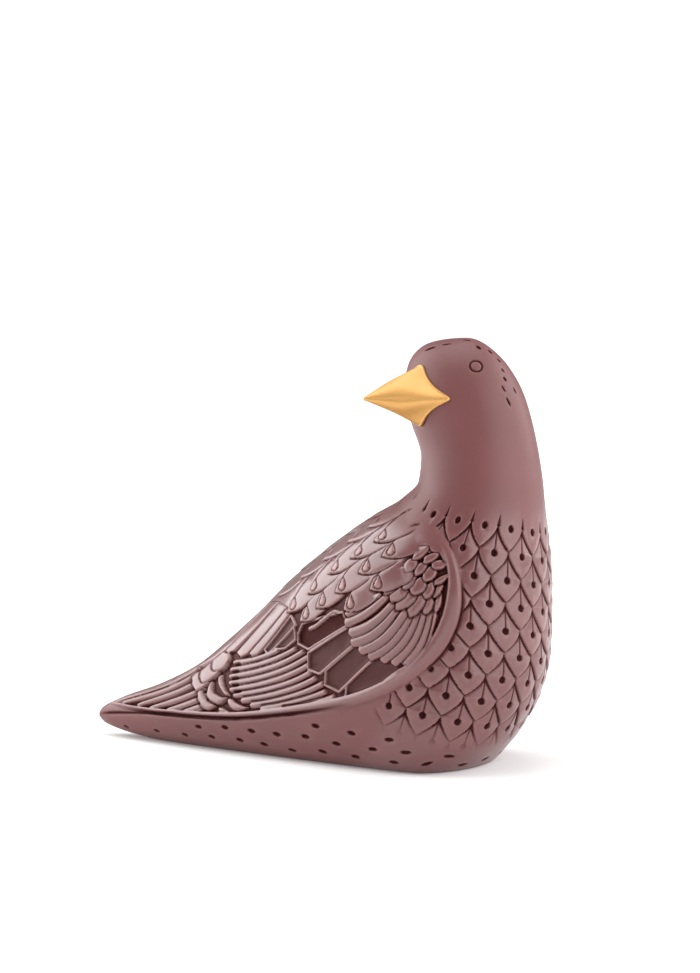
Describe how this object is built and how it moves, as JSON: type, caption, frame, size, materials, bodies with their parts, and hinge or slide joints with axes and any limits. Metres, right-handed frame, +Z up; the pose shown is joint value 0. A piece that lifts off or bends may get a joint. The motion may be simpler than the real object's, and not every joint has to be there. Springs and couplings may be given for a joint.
{
  "type": "bird figurine",
  "caption": "Seated porcelain starling with its head turned back over one wing, carved wings and breast scales, and a gilded four-sided beak.",
  "frame": {"origin": "centre of the overall box on the ground under the flat underside", "axes": "+X forward, from tail to breast; +Y towards the bird's left wing; +Z up"},
  "size_m": [0.1775, 0.079, 0.15],
  "materials": {
    "burgundy_glaze": "satin glaze, glossy on the wings",
    "satin_gold": "satin gilding"
  },
  "bodies": {
    "root": {"starling_body": "burgundy_glaze", "gilded_beak": "satin_gold"}
  },
  "joints": []
}
